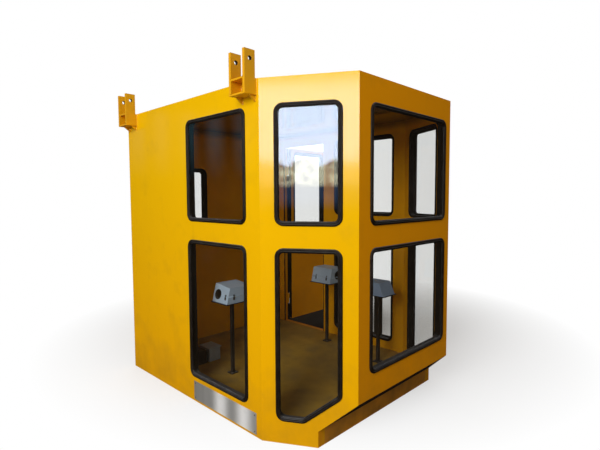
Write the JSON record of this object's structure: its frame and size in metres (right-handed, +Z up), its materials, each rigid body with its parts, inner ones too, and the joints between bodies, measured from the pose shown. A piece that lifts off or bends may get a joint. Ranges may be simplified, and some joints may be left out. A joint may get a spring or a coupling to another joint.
{
  "type": "crane operator cabin",
  "caption": "Welded steel operator's cabin with a tapered glazed front, rubber-sealed windows, a hinged side door and hanger clevises.",
  "frame": {"origin": "middle of the underside of the base, on the ground", "axes": "+Z up, the glazed front faces -Y, the door is in the +X side"},
  "size_m": [2.396, 2.266, 2.359],
  "materials": {
    "yellow_paint": "gloss",
    "base_paint": "semi-gloss",
    "floor_paint": "worn, dusty",
    "rubber_seal": "matt",
    "window_glass": "clear",
    "stainless_steel": "brushed",
    "black_steel": "satin, scuffed",
    "slate_paint": "satin",
    "grey_paint": "satin"
  },
  "bodies": {
    "cabin": {"base_front_beam": "base_paint", "base_rear_beam": "base_paint", "base_left_beam": "base_paint", "base_right_beam": "base_paint", "base_middle_beam": "base_paint", "floor_plate": "floor_paint", "apron_plate": "base_paint", "front_wall": "yellow_paint", "front_left_wall": "yellow_paint", "front_right_wall": "yellow_paint", "left_wall": "yellow_paint", "right_wall": "yellow_paint", "right_rear_post": "yellow_paint", "door_lintel": "yellow_paint", "door_sill": "base_paint", "rear_wall": "yellow_paint", "roof_panel": "yellow_paint", "front_seals": "rubber_seal", "front_left_seals": "rubber_seal", "front_right_seals": "rubber_seal", "left_seals": "rubber_seal", "right_seals": "rubber_seal", "rear_seal": "rubber_seal", "front_glass": "window_glass", "front_left_glass": "window_glass", "front_right_glass": "window_glass", "left_glass": "window_glass", "right_glass": "window_glass", "rear_glass": "window_glass", "door_hinge_pins": "yellow_paint", "hanger_front_left": "yellow_paint", "hanger_front_right": "yellow_paint", "hanger_rear_left": "yellow_paint", "hanger_rear_right": "yellow_paint", "left_console_stand": "black_steel", "left_console_box": "grey_paint", "right_console_stand": "black_steel", "right_console_box": "grey_paint", "front_console_stand": "black_steel", "front_console_box": "slate_paint", "junction_box": "grey_paint", "switch_box": "black_steel", "nameplate": "stainless_steel"},
    "door": {"door_leaf": "yellow_paint", "door_seal": "rubber_seal", "door_glass": "window_glass", "door_handle": "stainless_steel", "door_hinge_barrels": "yellow_paint"}
  },
  "joints": [
    {"name": "door_swing", "type": "hinge", "parent": "cabin", "child": "door", "pos_m": [0.867, 0.925, 1.05], "axis": [0, 0, 1], "range_deg": [-90, 20]}
  ]
}
